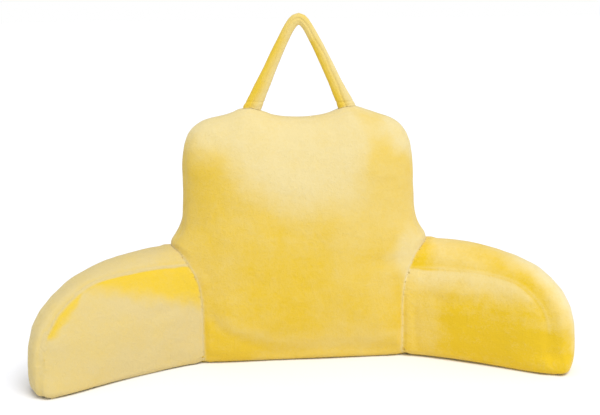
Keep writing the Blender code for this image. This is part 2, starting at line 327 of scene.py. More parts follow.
def arm_seams(arm):
    """The inner and outer seams, along the top from the backrest and down the nose."""
    line = arm_middle_line(arm)
    powers = (arm.outline_power, ARM_BASE_POWER) + ARM_CROWN_POWERS
    along_box = list(np.linspace(0.0, 1.0, 70)) + [1.0] * 40
    high_box = [1.0] * 70 + list(np.linspace(1.0, -0.9, 40))
    seams = []
    for side in (-1.0, 1.0):
        seam = []
        for share, high in zip(along_box, high_box):
            deep = side * float(arm_seam_place(arm, share)) * outline_rim(share, high, powers)
            scale = puffed(share, deep, high, powers)
            along, deep, high = share * scale, deep * scale, high * scale
            place = along * arm.length
            x = float(np.interp(place, line[:, 0], line[:, 1]))
            y = float(np.interp(place, line[:, 0], line[:, 2]))
            heading = float(np.interp(place, line[:, 0], line[:, 3]))
            thick = deep * float(column(ARM_STATIONS, "place", "half_thickness", place))
            skew = ARM_NOSE_SKEW * deep * float(eased(along))
            x += thick * math.sin(heading) - skew * math.cos(heading)
            y += thick * math.cos(heading) + skew * math.sin(heading)
            rise = ARM_TOP - ARM_WIDEST_HEIGHT if high > 0.0 else ARM_WIDEST_HEIGHT + ARM_BASE_CUT
            z = max(ARM_WIDEST_HEIGHT + high * rise, 0.0)
            seam.append(Vector((ORIGIN_X + arm.side * x, ORIGIN_Y + y, z)))
        seams.append(seam)
    return seams


def arm_pattern(arm, co):
    """Where points lie on an arm's pattern: share of its length, depth through it, and how far inside a D panel
    they are, which is above 0 on the panels and below 0 on the strip between them."""
    line = arm_middle_line(arm)
    px = arm.side * (co[:, 0] - ORIGIN_X)
    py = co[:, 1] - ORIGIN_Y
    away = (px[:, None] - line[None, :, 1]) ** 2 + (py[:, None] - line[None, :, 2]) ** 2
    near = line[np.argmin(away, axis=1)]
    dx, dy = px - near[:, 1], py - near[:, 2]
    sin, cos = np.sin(near[:, 3]), np.cos(near[:, 3])
    place = near[:, 0] + dx * cos - dy * sin
    thick = dx * sin + dy * cos
    deep = thick / column(ARM_STATIONS, "place", "half_thickness", place)
    along = place / arm.length + ARM_NOSE_SKEW / arm.length * deep * eased(place / arm.length)
    upper = co[:, 2] > ARM_WIDEST_HEIGHT
    rise = np.where(upper, ARM_TOP - ARM_WIDEST_HEIGHT, ARM_WIDEST_HEIGHT + ARM_BASE_CUT)
    high = (co[:, 2] - ARM_WIDEST_HEIGHT) / rise
    reach = np.clip(along, 0.0, None)
    widest = np.maximum(np.maximum(reach, np.abs(high)), 1e-6)
    power = arm.outline_power + (ARM_BASE_POWER - arm.outline_power) * eased(-high / widest)
    rim = (reach**power + np.abs(high) ** power) ** (1.0 / power)
    share = reach / widest
    return along, deep, np.abs(deep) - arm_seam_place(arm, share) * rim


def deselect():
    if bpy.context.object and bpy.context.object.mode != "OBJECT":
        bpy.ops.object.mode_set(mode="OBJECT")
    bpy.ops.object.select_all(action="DESELECT")


def pick(piece):
    deselect()
    piece.select_set(True)
    bpy.context.view_layer.objects.active = piece


def coordinates(piece):
    co = np.empty(len(piece.data.vertices) * 3)
    piece.data.vertices.foreach_get("co", co)
    return co.reshape(-1, 3)


def normals(piece):
    no = np.empty(len(piece.data.vertices) * 3, np.float32)
    piece.data.vertex_normals.foreach_get("vector", no)
    return no.reshape(-1, 3).astype(float)


def set_coordinates(piece, co):
    piece.data.vertices.foreach_set("co", np.ascontiguousarray(co).ravel())
    piece.data.update()


def surface(piece):
    """A search tree over a mesh object's faces."""
    mesh = piece.data
    verts = [vert.co for vert in mesh.vertices]
    return BVHTree.FromPolygons(verts, [face.vertices[:] for face in mesh.polygons])


def reach_to(tree, co, limit):
    """How far each point is from a search tree, up to a limit."""
    away = np.full(len(co), limit)
    for i, point in enumerate(co):
        hit = tree.find_nearest(point, limit)
        if hit[0] is not None:
            away[i] = hit[3]
    return away


def copy_of_node(node, name):
    """A new object with a node's mesh, its loose triangles merged."""
    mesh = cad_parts[node].data.copy()
    mesh.materials.clear()
    piece = bpy.data.objects.new(name, mesh)
    bpy.context.scene.collection.objects.link(piece)
    pick(piece)
    bpy.ops.object.mode_set(mode="EDIT")
    bpy.ops.mesh.select_all(action="SELECT")
    bpy.ops.mesh.remove_doubles(threshold=0.00005)
    bpy.ops.object.mode_set(mode="OBJECT")
    return piece


def remeshed(piece, voxel, smooth_turns):
    """Even, small faces over the whole piece, with the steps of the voxels smoothed away."""
    pick(piece)
    remesh = piece.modifiers.new("even faces", "REMESH")
    remesh.mode = "VOXEL"
    remesh.voxel_size = voxel
    bpy.ops.object.modifier_apply(modifier=remesh.name)
    if smooth_turns:
        smooth = piece.modifiers.new("voxel steps", "SMOOTH")
        smooth.factor = 0.5
        smooth.iterations = smooth_turns
        bpy.ops.object.modifier_apply(modifier=smooth.name)


def subdivided(piece):
    pick(piece)
    finer = piece.modifiers.new("finer cloth", "SUBSURF")
    finer.levels = finer.render_levels = 1
    bpy.ops.object.modifier_apply(modifier=finer.name)


def evened(piece, moved, turns):
    """Moves of the points, each turn drawn half way to the mean move of its neighbours."""
    edges = np.empty(len(piece.data.edges) * 2, np.int32)
    piece.data.edges.foreach_get("vertices", edges)
    edges = edges.reshape(-1, 2)
    count = np.maximum(np.bincount(edges.ravel(), minlength=len(moved)), 1)[:, None]
    for _ in range(turns):
        total = np.zeros_like(moved)
        for axis in range(3):
            total[:, axis] += np.bincount(edges[:, 0], moved[edges[:, 1], axis], len(moved))
            total[:, axis] += np.bincount(edges[:, 1], moved[edges[:, 0], axis], len(moved))
        moved = 0.5 * moved + 0.5 * total / count
    return moved


def blown_up(piece, held, pressure):
    """Fills the piece like a cushion: pressure from inside pushes its cloth out, except where it is held.

    held is 1 where the cloth is sewn down or rests.
    """
    sizes = bpy.context.scene.pillow_sizes
    group = piece.vertex_groups.new(name="held")
    for i, weight in enumerate(held):
        if weight > 0.01:
            group.add([i], float(weight), "REPLACE")
    start = coordinates(piece)
    pick(piece)
    cloth = piece.modifiers.new("filling", "CLOTH")
    settings = cloth.settings
    settings.quality = CLOTH_QUALITY
    settings.mass = 0.3
    settings.tension_stiffness = 12.0
    settings.compression_stiffness = 12.0
    settings.shear_stiffness = 4.0
    settings.bending_stiffness = 0.8
    settings.air_damping = 2.0
    settings.use_pressure = True
    settings.uniform_pressure_force = pressure
    settings.shrink_min = -sizes.slack
    settings.vertex_group_mass = group.name
    settings.effector_weights.gravity = 0.0
    cloth.collision_settings.use_collision = False
    cloth.collision_settings.use_self_collision = False
    scene = bpy.context.scene
    scene.frame_start, scene.frame_end = 1, CLOTH_FRAMES
    cloth.point_cache.frame_start, cloth.point_cache.frame_end = 1, CLOTH_FRAMES
    for number in range(1, CLOTH_FRAMES + 1):
        scene.frame_set(number)
    bpy.ops.object.modifier_apply(modifier=cloth.name)
    scene.frame_set(1)
    piece.vertex_groups.clear()
    moved = evened(piece, coordinates(piece) - start, EVEN_TURNS)
    length = np.linalg.norm(moved, axis=1)
    moved *= (sizes.swell * np.tanh(length / sizes.swell) / np.maximum(length, 1e-9))[:, None]
    set_coordinates(piece, start + moved)


def dense_line(points, step):
    """Points along a line of points, a step apart."""
    points = np.array([tuple(point) for point in points])
    lengths = np.linalg.norm(np.diff(points, axis=0), axis=1)
    places = np.concatenate(([0.0], np.cumsum(lengths)))
    wanted = np.arange(0.0, places[-1], step)
    return np.stack([np.interp(wanted, places, points[:, axis]) for axis in range(points.shape[1])], axis=1)


def on_surface(tree, line):
    """A line's points brought onto a search tree's surface."""
    found = []
    for point in line:
        hit = tree.find_nearest(point, 0.03)
        if hit[0] is not None:
            found.append(tuple(hit[0]))
    return np.array(found)


def nearest_of(points, co, limit):
    """How far each point of co is from the nearest of many points, up to a limit, and which one that is."""
    tree = KDTree(len(points))
    for i, point in enumerate(points):
        tree.insert(point, i)
    tree.balance()
    gap = np.full(len(co), limit)
    which = np.zeros(len(co), int)
    inside = np.all((co > points.min(0) - limit) & (co < points.max(0) + limit), axis=1)
    for i in np.nonzero(inside)[0]:
        found = tree.find(co[i])
        if found[2] < limit:
            gap[i] = found[2]
            which[i] = found[1]
    return gap, which


def reach_to_lines(lines, co, limit):
    """How far each point is from the nearest point of several dense lines, up to a limit."""
    return nearest_of(np.concatenate(lines), co, limit)[0]


def finer_near(piece, lines, reach):
    """Halves the faces that lie near several dense lines."""
    near = reach_to_lines(lines, coordinates(piece), reach * 2.0) < reach
    bm = bmesh.new()
    bm.from_mesh(piece.data)
    bm.verts.ensure_lookup_table()
    edges = [edge for edge in bm.edges if near[edge.verts[0].index] and near[edge.verts[1].index]]
    bmesh.ops.subdivide_edges(bm, edges=edges, cuts=1, use_grid_fill=True)
    bmesh.ops.triangulate(bm, faces=[face for face in bm.faces if len(face.verts) > 4])
    bm.to_mesh(piece.data)
    bm.free()


def bell(away, width):
    return np.exp(-((away / width) ** 2))


def seam_fade(co):
    """How plainly a seam shows: it sinks into the cloth towards the base."""
    return 0.10 + 0.90 * eased((co[:, 2] - 0.040) / 0.090)


def stitched(piece, name, seam_gap):
    """Draws the cloth in beside each seam and raises the seam itself as a soft ridge, with puckers along it."""
    seam = SEAMS[name]
    co, no = coordinates(piece), normals(piece)
    pucker = np.zeros(len(co))
    for i in np.nonzero(seam_gap < SEAM_REACH)[0]:
        place = Vector(co[i])
        pucker[i] = noise.noise(place * 75.0) + 0.5 * noise.noise(place * 150.0)
    fade = seam_fade(co)
    trough = -seam.trough * bell(seam_gap, 0.0100) * (1.0 + 0.5 * pucker)
    ridge = seam.ridge * bell(seam_gap, 0.0027)
    gathers = 0.5 * seam.trough * pucker * bell(seam_gap, 0.0140)
    set_coordinates(piece, co + no * (fade * (trough + ridge + gathers))[:, None])


def folded(piece, name, free):
    """Presses the folds of the table into the front of a piece, none where free is 0."""
    co, no = coordinates(piece), normals(piece)
    facing = eased((-no[:, 1] - 0.1) / 0.4) * free
    for fold in FOLDS:
        if fold.piece != name:
            continue
        line = dense_line(fold.points, 0.002) + np.array((ORIGIN_X, 0.0))
        spread = np.linspace(0.0, 1.0, len(line))
        gaps = np.sqrt((co[:, None, 0] - line[None, :, 0]) ** 2 + (co[:, None, 2] - line[None, :, 1]) ** 2)
        nearest = np.argmin(gaps, axis=1)
        away = gaps[np.arange(len(co)), nearest]
        fade = np.sin(np.pi * np.clip(spread[nearest], 0.02, 0.98)) ** 0.6
        valley = bell(away, fold.width) - 0.45 * bell(away - 1.9 * fold.width, fold.width)
        co = co - no * (fold.depth * fade * facing * valley)[:, None]
    set_coordinates(piece, co)


def rumpled(piece, broad, fine, free):
    """Small unevenness of the filling and the cloth, none where free is 0."""
    co, no = coordinates(piece), normals(piece)
    lift = np.empty(len(co))
    for i, point in enumerate(co):
        place = Vector(point)
        lift[i] = broad * noise.noise(place * 11.0) + fine * noise.noise(place * 34.0 + Vector((5.0, 3.0, 1.0)))
    set_coordinates(piece, co + no * (lift * free)[:, None])


Joint = namedtuple("Joint", "raw smooth ways")


def sewn_joint(node):
    """The line along which a piece is sewn to the backrest: its points, the same points on a smoother line, and
    the way out of the cloth at each."""
    tree = surface(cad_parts["backrest"])
    bm = bmesh.new()
    bm.from_mesh(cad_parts[node].data)
    bmesh.ops.remove_doubles(bm, verts=bm.verts, dist=0.00005)
    bm.normal_update()

    def touches(face):
        hit = tree.find_nearest(face.calc_center_median(), 0.001)
        return hit[0] is not None and hit[1].dot(face.normal) < -0.8

    points, ways = [], []
    for edge in bm.edges:
        if len(edge.link_faces) != 2:
            continue
        outer = [face for face in edge.link_faces if not touches(face)]
        if len(outer) != 1 or outer[0].normal.z < -0.7:
            continue
        start, end = edge.verts[0].co, edge.verts[1].co
        for i in range(max(1, int((end - start).length / JOINT_STEP))):
            points.append(start.lerp(end, i * JOINT_STEP / max((end - start).length, 1e-9)))
            ways.append(outer[0].normal.copy())
    bm.free()
    tree = KDTree(len(points))
    for i, point in enumerate(points):
        tree.insert(point, i)
    tree.balance()
    smooth, even_ways = [], []
    for point in points:
        near = tree.find_range(point, JOINT_SMOOTHING[node])
        middle = sum((points[found[1]] for found in near), Vector()) / len(near)
        share = float(eased(point.z / 0.03))
        smooth.append(point.lerp(middle, share))
        way = sum((ways[found[1]] for found in tree.find_range(point, 0.015)), Vector())
        even_ways.append(way.normalized())
    return Joint(*(np.array([tuple(vector) for vector in rows]) for rows in (points, smooth, even_ways)))


def all_of(joints, part):
    return np.concatenate([getattr(joint, part) for joint in joints])


def hemmed(piece, co, line):
    """Brings the nearest points onto the line of points where the cloth ends, and those beside them along."""
    tree = KDTree(len(co))
    for i, point in enumerate(co):
        tree.insert(point, i)
    tree.balance()
    pull = np.zeros_like(co)
    count = np.zeros(len(co))
    for point in line:
        found = tree.find(point)
        if found[2] < HEM_REACH:
            pull[found[1]] += point - co[found[1]]
            count[found[1]] += 1.0
    hem = count > 0.0
    pull[hem] /= count[hem, None]
    moved = pull
    for _ in range(HEM_TURNS):
        moved = evened(piece, moved, 1)
        moved[hem] = pull[hem]
    return co + moved


def fitted(piece, skin, trees, joints, relax_width, ends_there=True):
    """Brings the cloth near the neighbours back onto the sewn form, and its edge onto the joint's smoother line.

    ends_there tells whether the cloth ends at the joint, as an arm's does, or runs on past it.
    """
    co = coordinates(piece)
    contact = np.full(len(co), 0.05)
    for tree in trees:
        contact = np.minimum(contact, reach_to(tree, co, 0.05))
    for i in np.nonzero(contact < 0.020)[0]:
        hit = skin.find_nearest(co[i])
        share = 1.0 - float(eased((contact[i] - 0.003) / 0.017))
        co[i] += (np.array(hit[0]) - co[i]) * share
    raw, smooth = all_of(joints, "raw"), all_of(joints, "smooth")
    if ends_there:
        co = hemmed(piece, co, raw)
    gap, near = nearest_of(raw, co, 0.04)
    move = smooth[near] - raw[near]
    co += evened(piece, move * bell(gap, 0.012)[:, None] * (gap < 0.04)[:, None], EVEN_TURNS)
    share = bell(gap, relax_width)[:, None]
    for _ in range(RELAX_TURNS):
        co += (evened(piece, co, 1) - co) * share
    if ends_there:
        co = hemmed(piece, co, smooth)
    co[:, 2] = np.maximum(co[:, 2], 0.0)
    set_coordinates(piece, co)


def drawn_in(piece, joints):
    """Draws the cloth in along sewn joints: the same move for both pieces of a joint, so that they stay together."""
    sizes = bpy.context.scene.pillow_sizes
    co = coordinates(piece)
    gap, near = nearest_of(all_of(joints, "smooth"), co, 0.04)
    depth = sizes.joint_depth * (1.0 - 0.85 * eased((co[:, 2] - 0.165) / 0.045)) * bell(gap, sizes.joint_width)
    set_coordinates(piece, co - all_of(joints, "ways")[near] * (depth * (gap < 0.04))[:, None])
    return gap


def settled(piece, flat_height):
    """Flattens the piece where it rests, and keeps all of it on or above the surface."""
    co = coordinates(piece)
    low = co[:, 2] < flat_height
    co[low, 2] = 0.0
    co[:, 2] = np.maximum(co[:, 2], 0.0)
    set_coordinates(piece, co)


def sewn_onto(piece, neighbour_tree):
    """Lays the points of a piece that touch its neighbour a small gap from it, and draws its edge down to it."""
    co = coordinates(piece)
    for i, point in enumerate(co):
        hit = neighbour_tree.find_nearest(point, SEWN_REACH)
        if hit[0] is None:
            continue
        height = (Vector(point) - hit[0]).dot(hit[1])
        if height < SEWN_GAP:
            wanted = SEWN_GAP
        else:
            share = 0.3 + 0.7 * float(eased((height - SEWN_LOW) / (SEWN_HIGH - SEWN_LOW)))
            wanted = SEWN_GAP + (height - SEWN_GAP) * share
        co[i] += np.array(hit[1]) * (wanted - height)
    co[:, 2] = np.maximum(co[:, 2], 0.0)
    set_coordinates(piece, co)


def inside_outline(outline, x, z):
    """How far points are inside an outline of x, z pairs, below 0 where they are outside."""
    away = np.full(len(x), np.inf)
    inside = np.zeros(len(x), bool)
    for (ax, az), (bx, bz) in zip(outline, outline[1:] + outline[:1]):
        ex, ez = bx - ax, bz - az
        t = np.clip(((x - ax) * ex + (z - az) * ez) / (ex * ex + ez * ez), 0.0, 1.0)
        away = np.minimum(away, np.hypot(x - ax - t * ex, z - az - t * ez))
        crosses = (az > z) != (bz > z)
        inside ^= crosses & (x < ax + (z - az) * ex / (ez if ez else 1e-12))
    return np.where(inside, away, -away)


def brush_nap(piece, name, inside_panel, seam_gap, joint_gap, painted_side_light=0.0):
    """Paints how the nap lies as an attribute of the piece: 0 is deep, 1 is pale. It also paints a highlight along
    the seams' ridges and the joints and shade beside the seams, and the last argument, added to it all, is the
    handle's painted light and shade.
    """
    co, no = coordinates(piece), normals(piece)
    drift = np.empty((len(co), 3))
    wander = np.empty((len(co), 3))
    ripple = np.empty((len(co), 3))
    for i, point in enumerate(co):
        place = Vector(point)
        drift[i] = noise.noise_vector(place * 6.0)
        wander[i] = noise.noise_vector(place * 17.0 + Vector((3.0, 1.0, 7.0)))
        ripple[i] = noise.noise_vector(place * 58.0)
    back = eased((no[:, 1] - 0.25) / 0.5)
    nap = BASE_NAP[name] + painted_side_light + 0.10 * drift[:, 0] + 0.12 * wander[:, 0] + 0.08 * ripple[:, 0]
    x = co[:, 0] - ORIGIN_X + 0.016 * drift[:, 1] + 0.013 * wander[:, 1] + 0.006 * ripple[:, 1]
    z = co[:, 2] + 0.010 * drift[:, 2] + 0.012 * wander[:, 2] + 0.006 * ripple[:, 2]
    for patch in PATCHES:
        if patch.piece != name:
            continue
        cover = patch.weight * eased(0.5 + 0.5 * inside_outline(patch.outline, x, z) / patch.soft)
        if patch.part == "panel":
            cover = cover * eased(0.5 + inside_panel / 0.04)
        elif patch.part == "strip":
            cover = cover * eased(0.5 - inside_panel / 0.04)
        nap = nap + (patch.nap - nap) * cover
    behind = 0.45 + 0.45 * drift[:, 0] + 0.30 * wander[:, 1] + 0.10 * ripple[:, 0]
    nap = nap * (1.0 - back) + behind * back
    # Painted highlight along each seam's ridge and painted shade in a line beside it, both scaled by the seam's pale
    # value
    pale = SEAMS[name].pale if name in SEAMS else 0.0
    pale = pale * seam_fade(co)
    nap = nap + pale * bell(seam_gap, 0.0022) - 0.30 * pale * bell(seam_gap - 0.0060, 0.0030)
    # Painted highlight: a pale line along the joints, lighter over the shade of the crevice there
    nap = nap + 0.50 * bell(joint_gap, 0.0028)
    layer = piece.data.attributes.new("nap", "FLOAT", "POINT")
    layer.data.foreach_set("value", np.clip(nap, 0.0, 1.0).astype(np.float32))


def add_node(tree, kind, inputs=None, **values):
    node = tree.nodes.new(kind)
    for key, value in values.items():
        setattr(node, key, value)
    for key, value in (inputs or {}).items():
        node.inputs[key].default_value = value
    return node


def build_plush_group():
    """Colour and pile of brushed plush: streaks where hands have stroked it, and fine tufts. Its colour mixes deep
    with pale by the nap, and the pale is painted sheen of the pile.
    """
    name = "Brushed plush"
    if name in bpy.data.node_groups:
        return bpy.data.node_groups[name]
    tree = bpy.data.node_groups.new(name, "ShaderNodeTree")
    face = tree.interface
    face.new_socket("Nap", in_out="INPUT", socket_type="NodeSocketFloat")
    face.new_socket("Deep", in_out="INPUT", socket_type="NodeSocketColor")
    face.new_socket("Pale", in_out="INPUT", socket_type="NodeSocketColor")
    face.new_socket("Streaks", in_out="INPUT", socket_type="NodeSocketFloat")
    face.new_socket("Sweeps", in_out="INPUT", socket_type="NodeSocketFloat")
    face.new_socket("Tufts", in_out="INPUT", socket_type="NodeSocketFloat")
    face.new_socket("Color", in_out="OUTPUT", socket_type="NodeSocketColor")
    face.new_socket("Height", in_out="OUTPUT", socket_type="NodeSocketFloat")
    link = tree.links.new
    given = add_node(tree, "NodeGroupInput")
    result = add_node(tree, "NodeGroupOutput")
    where = add_node(tree, "ShaderNodeTexCoord")

    def noise_at(scale, detail, stretch=(1.0, 1.0, 1.0), rough=0.5):
        place = add_node(tree, "ShaderNodeMapping", {"Scale": stretch})
        link(where.outputs["Object"], place.inputs["Vector"])
        look = add_node(tree, "ShaderNodeTexNoise", {"Scale": scale, "Detail": detail, "Roughness": rough})
        link(place.outputs["Vector"], look.inputs["Vector"])
        return look.outputs["Fac"]

    def sum_of(first, second, factor):
        less = add_node(tree, "ShaderNodeMath", operation="SUBTRACT")
        link(second, less.inputs[0])
        less.inputs[1].default_value = 0.5
        part = add_node(tree, "ShaderNodeMath", operation="MULTIPLY_ADD")
        link(less.outputs[0], part.inputs[0])
        if isinstance(factor, float):
            part.inputs[1].default_value = factor
        else:
            link(factor, part.inputs[1])
        link(first, part.inputs[2])
        return part.outputs[0]

    cloudy = noise_at(14.0, 3.0)
    streaky = noise_at(30.0, 4.0, (1.0, 1.0, 0.28), 0.6)
    swept = noise_at(30.0, 4.0, (0.25, 0.25, 1.3), 0.6)
    mottled = noise_at(75.0, 3.0, rough=0.6)
    speckled = noise_at(200.0, 3.0, rough=0.7)
    tufted = noise_at(700.0, 3.0, rough=0.65)
    nap = sum_of(given.outputs["Nap"], cloudy, 0.30)
    nap = sum_of(nap, streaky, given.outputs["Streaks"])
    nap = sum_of(nap, swept, given.outputs["Sweeps"])
    nap = sum_of(nap, mottled, 0.20)
    nap = sum_of(nap, speckled, given.outputs["Tufts"])
    nap = sum_of(nap, tufted, given.outputs["Tufts"])
    # Deep and pale mixed by the nap: the pale is painted sheen, light reflected off the pile where it leans away
    shade = add_node(tree, "ShaderNodeMix", data_type="RGBA")
    link(nap, shade.inputs["Factor"])
    link(given.outputs["Deep"], shade.inputs["A"])
    link(given.outputs["Pale"], shade.inputs["B"])
    link(shade.outputs["Result"], result.inputs["Color"])
    lumps = add_node(tree, "ShaderNodeMath", operation="MULTIPLY_ADD")
    link(mottled, lumps.inputs[0])
    lumps.inputs[1].default_value = 1.6
    link(tufted, lumps.inputs[2])
    pile = add_node(tree, "ShaderNodeMath", operation="ADD")
    link(lumps.outputs[0], pile.inputs[0])
    link(speckled, pile.inputs[1])
    link(pile.outputs[0], result.inputs["Height"])
    return tree


def plush_material(name, deep, pale, streaks, sweeps, tufts):
    """Short brushed pile: dull, with a soft sheen at its edges."""
    material = bpy.data.materials.new(name)
    material.use_nodes = True
    tree = material.node_tree
    shader = tree.nodes["Principled BSDF"]
    shader.inputs["Roughness"].default_value = 0.92
    shader.inputs["Specular IOR Level"].default_value = 0.15
    shader.inputs["Sheen Weight"].default_value = 0.35
    shader.inputs["Sheen Roughness"].default_value = 0.45
    shader.inputs["Sheen Tint"].default_value = (1.0, 0.93, 0.70, 1.0)
    cloth = add_node(tree, "ShaderNodeGroup")
    cloth.node_tree = build_plush_group()
    cloth.inputs["Deep"].default_value = deep
    cloth.inputs["Pale"].default_value = pale
    cloth.inputs["Streaks"].default_value = streaks
    cloth.inputs["Sweeps"].default_value = sweeps
    cloth.inputs["Tufts"].default_value = tufts
    nap = add_node(tree, "ShaderNodeAttribute", attribute_name="nap")
    tree.links.new(nap.outputs["Fac"], cloth.inputs["Nap"])
    tree.links.new(cloth.outputs["Color"], shader.inputs["Base Color"])
    pile = add_node(tree, "ShaderNodeBump", {"Strength": 0.60, "Distance": 0.0014})
    tree.links.new(cloth.outputs["Height"], pile.inputs["Height"])
    tree.links.new(pile.outputs["Normal"], shader.inputs["Normal"])
    return material


class PillowSizes(bpy.types.PropertyGroup):
    """Sizes of the cloth's form."""

    backrest_voxel: bpy.props.FloatProperty(
        name="Backrest mesh", description="Size of the backrest's faces before they are halved",
        default=0.006, unit="LENGTH",
    )
    arm_voxel: bpy.props.FloatProperty(
        name="Arm mesh", description="Size of the arms' faces before they are halved",
        default=0.0045, unit="LENGTH",
    )
    handle_voxel: bpy.props.FloatProperty(
        name="Handle mesh", description="Size of the handle's faces before they are halved",
        default=0.0022, unit="LENGTH",
    )
    backrest_inset: bpy.props.FloatProperty(
        name="Backrest inset", description="How much smaller the backrest starts before it swells",
        default=0.0015, unit="LENGTH",
    )
    arm_inset: bpy.props.FloatProperty(
        name="Arm inset", description="How much smaller the arms start before they swell",
        default=0.003, unit="LENGTH",
    )
    backrest_pressure: bpy.props.FloatProperty(
        name="Backrest pressure", description="How hard the filling pushes the backrest's cloth out", default=4.0,
    )
    arm_pressure: bpy.props.FloatProperty(
        name="Arm pressure", description="How hard the filling pushes the arms' cloth out", default=18.0,
    )
    slack: bpy.props.FloatProperty(
        name="Slack", description="How much larger the cloth is cut than the form",
        default=0.004, subtype="FACTOR",
    )
    swell: bpy.props.FloatProperty(
        name="Swell", description="How far the filling may move the cloth", default=0.012, unit="LENGTH",
    )
    joint_depth: bpy.props.FloatProperty(
        name="Joint depth", description="How far the cloth is drawn in where two cushions are sewn together",
        default=0.0007, unit="LENGTH",
    )
    joint_width: bpy.props.FloatProperty(
        name="Joint width", description="How far from such a joint the cloth is drawn in",
        default=0.0100, unit="LENGTH",
    )


def plush_colour(title, words, colour):
    return bpy.props.FloatVectorProperty(
        name=title, description=words, default=colour + (1.0,), size=4, min=0.0, max=1.0, subtype="COLOR"
    )


class PillowColours(bpy.types.PropertyGroup):
    """Colours of the plush: deep where its pile leans towards the eye, pale where it leans away, the pale being
    painted sheen, light reflected off the pile.
    """

    backrest_deep: plush_colour("Backrest deep", "Deep nap of the backrest", (0.76, 0.515, 0.035))
    backrest_pale: plush_colour("Backrest pale", "Pale nap of the backrest", (0.79, 0.65, 0.315))
    arm_left_deep: plush_colour("Left arm deep", "Deep nap of the left arm", (0.78, 0.54, 0.040))
    # The left arm's pale is painted shade: greyer and darker than the other pieces' pale, the same plush in less
    # light
    arm_left_pale: plush_colour("Left arm pale", "Pale nap of the left arm", (0.69, 0.55, 0.245))
    arm_right_deep: plush_colour("Right arm deep", "Deep nap of the right arm", (0.80, 0.535, 0.020))
    # The right arm's pale is painted light: brighter than the other pieces' pale, the same plush in more light
    arm_right_pale: plush_colour("Right arm pale", "Pale nap of the right arm", (0.86, 0.73, 0.40))
    handle_deep: plush_colour("Handle deep", "Deep nap of the handle", (0.80, 0.555, 0.045))
    handle_pale: plush_colour("Handle pale", "Pale nap of the handle", (0.80, 0.66, 0.32))
    floor: plush_colour("Floor", "Colour of the studio floor", (0.94, 0.95, 0.99))


def sewn_neighbours(node):
    """The frame's pieces that a piece is sewn to."""
    return ("arm_left", "arm_right", "handle") if node == "backrest" else ("backrest",)


def dress_cushion(node, name, voxel, inset, pressure, seams):
    """Makes the padded piece that stands for a node of the frame, and returns it with its gaps to the seams and to
    the sewn joints."""
    piece = copy_of_node(node, name)
    skin = surface(piece)
    trees = [surface(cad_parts[neighbour]) for neighbour in sewn_neighbours(node)]
    joined = sewn_neighbours(node) if node == "backrest" else (node,)
    joints = [sewn_joint(other) for other in joined]
    remeshed(piece, voxel, 3)
    co = coordinates(piece)
    contact = np.full(len(co), 0.05)
    for tree in trees:
        contact = np.minimum(contact, reach_to(tree, co, 0.05))
    lines = [on_surface(skin, dense_line(seam, 0.001)) for seam in seams]
    seam_gap = reach_to_lines(lines, co, 0.05)
    free = eased((contact - 0.002) / 0.022) * eased((co[:, 2] - 0.002) / 0.018)
    set_coordinates(piece, co - normals(piece) * (inset * free)[:, None])
    seam_hold = 0.9 if SEAMS[node].ridge > 0.0005 else 0.4
    held = np.maximum(1.0 - free, seam_hold * bell(seam_gap, 0.007))
    blown_up(piece, held, pressure)
    subdivided(piece)
    lines = [on_surface(surface(piece), line) for line in lines]
    fine_lines = [joint.raw for joint in joints]
    if SEAMS[node].ridge > 0.0005:
        fine_lines += lines
    finer_near(piece, fine_lines, 0.0065)
    fitted(piece, skin, trees, joints, RELAX_WIDTH[node], node != "backrest")
    co = coordinates(piece)
    seam_gap = reach_to_lines(lines, co, 0.05)
    joint_gap = nearest_of(all_of(joints, "smooth"), co, 0.04)[0]
    free = eased((co[:, 2] - 0.001) / 0.012) * eased((joint_gap - 0.001) / 0.014)
    rumpled(piece, 0.0024, 0.0008, free)
    folded(piece, node, free)
    stitched(piece, node, seam_gap)
    joint_gap = drawn_in(piece, joints)
    settled(piece, 0.0010)
    pick(piece)
    bpy.ops.object.shade_smooth_by_angle(angle=math.radians(50.0))
    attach(piece, "root")
    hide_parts(node)
    return piece, seam_gap, joint_gap


class PILLOW_OT_backrest(bpy.types.Operator):
    """Makes the upright cushion"""

    bl_idname = "pillow.backrest"
    bl_label = "Backrest cushion"

    def execute(self, context):
        sizes, colours = context.scene.pillow_sizes, context.scene.pillow_colours
        piece, seam_gap, joint_gap = dress_cushion(
            "backrest", "backrest_cushion", sizes.backrest_voxel, sizes.backrest_inset, sizes.backrest_pressure,
            backrest_seams(),
        )
        brush_nap(piece, "backrest", np.ones(len(piece.data.vertices)), seam_gap, joint_gap)
        material = plush_material(
            "Backrest plush", colours.backrest_deep, colours.backrest_pale, streaks=0.16, sweeps=0.20, tufts=0.30
        )
        piece.data.materials.append(material)
        return {"FINISHED"}


class PILLOW_OT_arms(bpy.types.Operator):
    """Makes the two padded arms"""

    bl_idname = "pillow.arms"
    bl_label = "Padded arms"

    def execute(self, context):
        sizes, colours = context.scene.pillow_sizes, context.scene.pillow_colours
        backrest_tree = surface(bpy.data.objects["backrest_cushion"])
        brushing = {"arm_left": (0.26, 0.06), "arm_right": (0.06, 0.34)}
        for arm in ARMS:
            piece, seam_gap, joint_gap = dress_cushion(
                arm.name, arm.name + "_cushion", sizes.arm_voxel, sizes.arm_inset, sizes.arm_pressure,
                arm_seams(arm),
            )
            sewn_onto(piece, backrest_tree)
            inside_panel = arm_pattern(arm, coordinates(piece))[2]
            brush_nap(piece, arm.name, inside_panel, seam_gap, joint_gap)
            title = arm.name.replace("_", " ").capitalize() + " plush"
            deep, pale = (getattr(colours, arm.name + lie) for lie in ("_deep", "_pale"))
            streaks, sweeps = brushing[arm.name]
            piece.data.materials.append(plush_material(title, deep, pale, streaks, sweeps, tufts=0.30))
        return {"FINISHED"}


